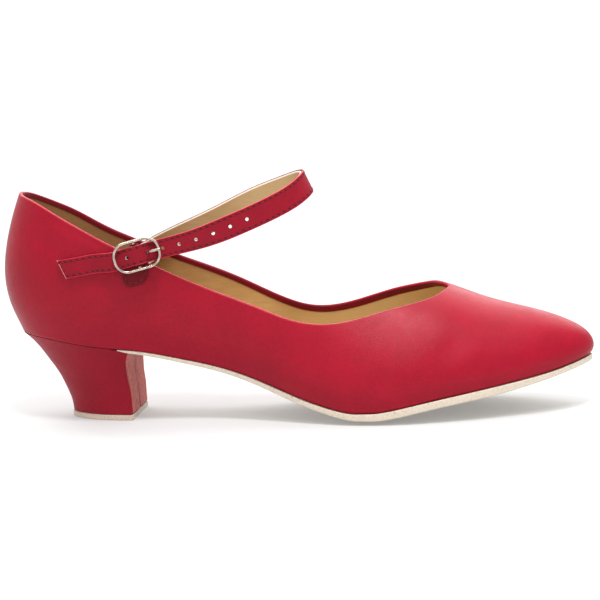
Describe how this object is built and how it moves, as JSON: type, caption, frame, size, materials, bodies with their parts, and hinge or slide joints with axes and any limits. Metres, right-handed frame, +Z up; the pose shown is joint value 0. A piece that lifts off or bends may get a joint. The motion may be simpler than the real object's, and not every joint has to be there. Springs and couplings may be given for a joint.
{
  "type": "character shoe",
  "caption": "Closed court-style dance shoe with a low covered heel, suede sole and an instep strap fastened by a small rounded buckle.",
  "frame": {"origin": "centre of the flat ground contact of the heel's top piece", "axes": "+X towards the toe along the shoe, +Y towards the inner side of the foot, +Z up from the floor"},
  "size_m": [0.2522, 0.0773, 0.1041],
  "materials": {
    "upper": "smooth red leather with a soft satin sheen",
    "heel_cover": "the same red leather stretched over the heel block",
    "strap": "red leather strap with dark red stitching and a tan lining",
    "outsole": "beige suede with a fuzzy, slightly marked edge",
    "lining": "matt tan lining leather",
    "buckle": "polished nickel"
  },
  "bodies": {
    "root": {"upper": "upper", "outsole": "outsole", "insole": "lining", "heel": "heel_cover", "heel_top_piece": "outsole", "strap": "strap", "buckle_tab": "strap", "buckle_frame": "buckle", "buckle_prong": "buckle"}
  },
  "joints": []
}
